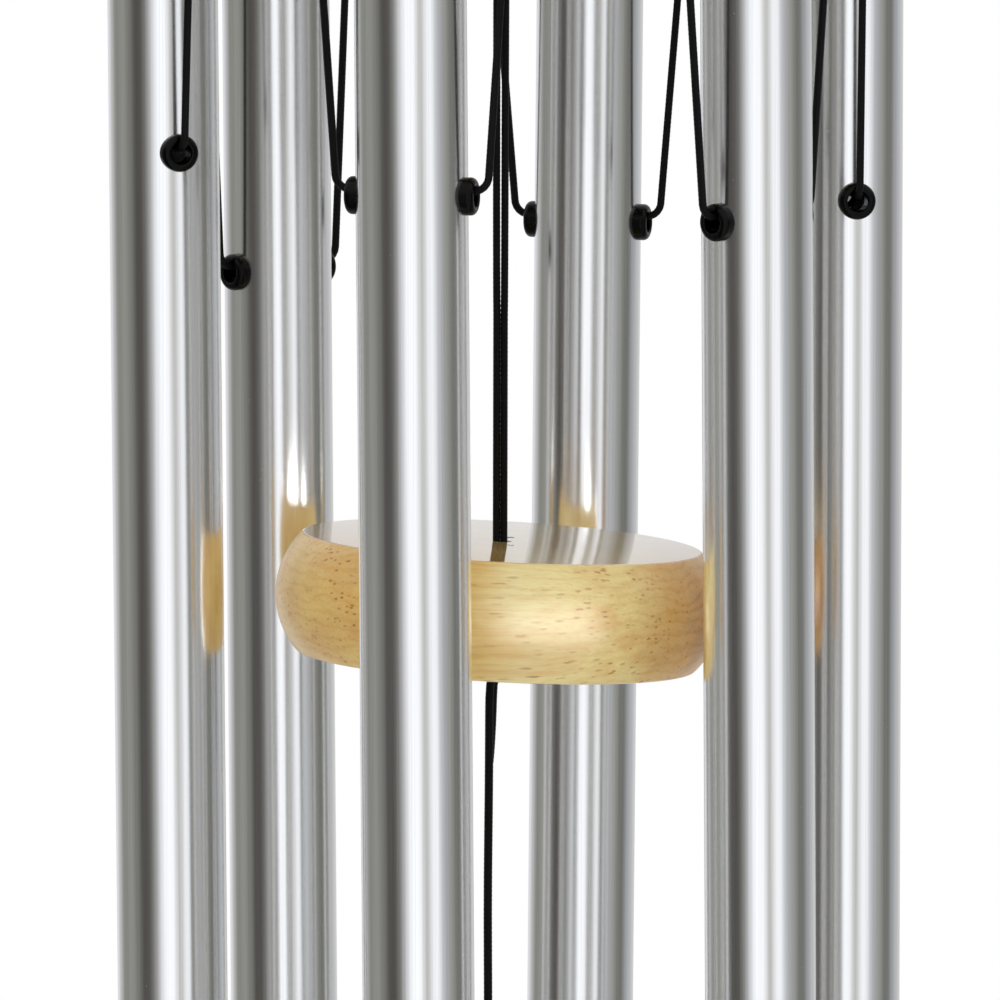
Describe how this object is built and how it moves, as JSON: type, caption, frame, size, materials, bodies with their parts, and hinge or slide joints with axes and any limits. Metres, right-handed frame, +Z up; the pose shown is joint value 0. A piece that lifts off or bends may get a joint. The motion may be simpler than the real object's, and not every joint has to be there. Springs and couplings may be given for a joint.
{
  "type": "wind chime",
  "caption": "Hanging wind chime of tuned aluminium tubes round a turned wooden clapper, with black cords, grommets, a wooden platform, a wooden wind sail and a steel hanging ring.",
  "frame": {"origin": "where a hook carries the hanging ring, at the top of the ring's hole", "axes": "+Z up, the chime hangs along -Z; +X to the right and +Y to the back as seen from the front; the ring stands in the XZ plane and the sail faces -Y"},
  "size_m": [0.25, 0.2498, 1.1172],
  "materials": {
    "ring_steel": "satin stainless wire",
    "pine": "pale wood under clear satin lacquer, fine brown grain",
    "tube_aluminium": "drawn satin aluminium with fine lines along the tube",
    "grommet_rubber": "black satin rubber",
    "cord": "fine black braid"
  },
  "bodies": {
    "ring": {"hanging_ring": "ring_steel"},
    "hanger_loop": {"hanger_loop": "cord"},
    "hanger_knot": {"hanger_knot": "cord"},
    "platform": {"platform": "pine", "hanger_cord_1": "cord", "hanger_cord_2": "cord", "hanger_cord_3": "cord", "tube_cord_ends": "cord", "centre_cord_end": "cord"},
    "tube_cord_1": {"tube_cord_1": "cord"},
    "tube_1": {"tube_1": "tube_aluminium", "grommets_1": "grommet_rubber"},
    "tube_cord_2": {"tube_cord_2": "cord"},
    "tube_2": {"tube_2": "tube_aluminium", "grommets_2": "grommet_rubber"},
    "tube_cord_3": {"tube_cord_3": "cord"},
    "tube_3": {"tube_3": "tube_aluminium", "grommets_3": "grommet_rubber"},
    "tube_cord_4": {"tube_cord_4": "cord"},
    "tube_4": {"tube_4": "tube_aluminium", "grommets_4": "grommet_rubber"},
    "tube_cord_5": {"tube_cord_5": "cord"},
    "tube_5": {"tube_5": "tube_aluminium", "grommets_5": "grommet_rubber"},
    "tube_cord_6": {"tube_cord_6": "cord"},
    "tube_6": {"tube_6": "tube_aluminium", "grommets_6": "grommet_rubber"},
    "centre_cord_knot": {"centre_cord_knot": "cord"},
    "clapper_cord": {"clapper_cord": "cord"},
    "clapper": {"clapper": "pine", "clapper_stop_knot": "cord"},
    "sail_cord": {"sail_cord": "cord"},
    "sail_loop": {"sail_loop": "cord"},
    "sail": {"sail": "pine"}
  },
  "joints": [
    {"name": "hanger_swing_fore", "type": "hinge", "parent": "ring", "child": "hanger_loop", "pos_m": [0, 0, -0.034], "axis": [1, 0, 0], "range_deg": [-12, 12]},
    {"name": "hanger_turn", "type": "hinge", "parent": "hanger_loop", "child": "hanger_knot", "pos_m": [0, 0, -0.058], "axis": [0, 0, 1], "range_deg": [-45, 45]},
    {"name": "hanger_swing_side", "type": "hinge", "parent": "hanger_knot", "child": "platform", "pos_m": [0, 0, -0.058], "axis": [0, -1, 0], "range_deg": [-12, 12]},
    {"name": "tube_1_swing", "type": "hinge", "parent": "platform", "child": "tube_cord_1", "pos_m": [-0.09712, -0.02951, -0.234], "axis": [0.2907, -0.9568, 0], "range_deg": [-10, 3.5]},
    {"name": "tube_1_rock", "type": "hinge", "parent": "tube_cord_1", "child": "tube_1", "pos_m": [-0.09712, -0.02951, -0.38275], "axis": [0.2907, -0.9568, 0], "range_deg": [-4, 1]},
    {"name": "tube_2_swing", "type": "hinge", "parent": "platform", "child": "tube_cord_2", "pos_m": [-0.02541, -0.09827, -0.234], "axis": [0.9681, -0.2504, 0], "range_deg": [-10, 3.5]},
    {"name": "tube_2_rock", "type": "hinge", "parent": "tube_cord_2", "child": "tube_2", "pos_m": [-0.02541, -0.09827, -0.39099], "axis": [0.9681, -0.2504, 0], "range_deg": [-4, 1]},
    {"name": "tube_3_swing", "type": "hinge", "parent": "platform", "child": "tube_cord_3", "pos_m": [0.07239, -0.07114, -0.234], "axis": [-0.7009, -0.7133, 0], "range_deg": [-3.5, 10]},
    {"name": "tube_3_rock", "type": "hinge", "parent": "tube_cord_3", "child": "tube_3", "pos_m": [0.07239, -0.07114, -0.39965], "axis": [-0.7009, -0.7133, 0], "range_deg": [-1, 4]},
    {"name": "tube_4_swing", "type": "hinge", "parent": "platform", "child": "tube_cord_4", "pos_m": [0.1007, 0.01272, -0.234], "axis": [0.1253, -0.9921, 0], "range_deg": [-3.5, 10]},
    {"name": "tube_4_rock", "type": "hinge", "parent": "tube_cord_4", "child": "tube_4", "pos_m": [0.1007, 0.01272, -0.39956], "axis": [0.1253, -0.9921, 0], "range_deg": [-1, 4]},
    {"name": "tube_5_swing", "type": "hinge", "parent": "platform", "child": "tube_cord_5", "pos_m": [0.02559, 0.09822, -0.234], "axis": [0.9677, -0.2521, 0], "range_deg": [-3.5, 10]},
    {"name": "tube_5_rock", "type": "hinge", "parent": "tube_cord_5", "child": "tube_5", "pos_m": [0.02559, 0.09822, -0.4131], "axis": [0.9677, -0.2521, 0], "range_deg": [-1, 4]},
    {"name": "tube_6_swing", "type": "hinge", "parent": "platform", "child": "tube_cord_6", "pos_m": [-0.06646, 0.07672, -0.234], "axis": [0.7559, 0.6547, 0], "range_deg": [-3.5, 10]},
    {"name": "tube_6_rock", "type": "hinge", "parent": "tube_cord_6", "child": "tube_6", "pos_m": [-0.06646, 0.07672, -0.42582], "axis": [0.7559, 0.6547, 0], "range_deg": [-1, 4]},
    {"name": "clapper_swing_fore", "type": "hinge", "parent": "platform", "child": "centre_cord_knot", "pos_m": [0, 0, -0.238], "axis": [1, 0, 0], "range_deg": [-3.7, 3.7]},
    {"name": "clapper_swing_side", "type": "hinge", "parent": "centre_cord_knot", "child": "clapper_cord", "pos_m": [0, 0, -0.238], "axis": [0, -1, 0], "range_deg": [-3.7, 3.7]},
    {"name": "clapper_tilt", "type": "hinge", "parent": "clapper_cord", "child": "clapper", "pos_m": [0, 0, -0.5006], "axis": [0, 1, 0], "range_deg": [-8, 2]},
    {"name": "sail_cord_swing", "type": "hinge", "parent": "clapper", "child": "sail_cord", "pos_m": [-0.00213, 0, -0.53864], "axis": [1, 0, 0], "range_deg": [-10, 10]},
    {"name": "sail_turn", "type": "hinge", "parent": "sail_cord", "child": "sail_loop", "pos_m": [-0.00213, 0, -1.011], "axis": [0, 0, 1], "range_deg": [-90, 90]},
    {"name": "sail_rock", "type": "hinge", "parent": "sail_loop", "child": "sail", "pos_m": [-0.00213, 0, -1.011], "axis": [0, 1, 0], "range_deg": [-15, 15]}
  ]
}
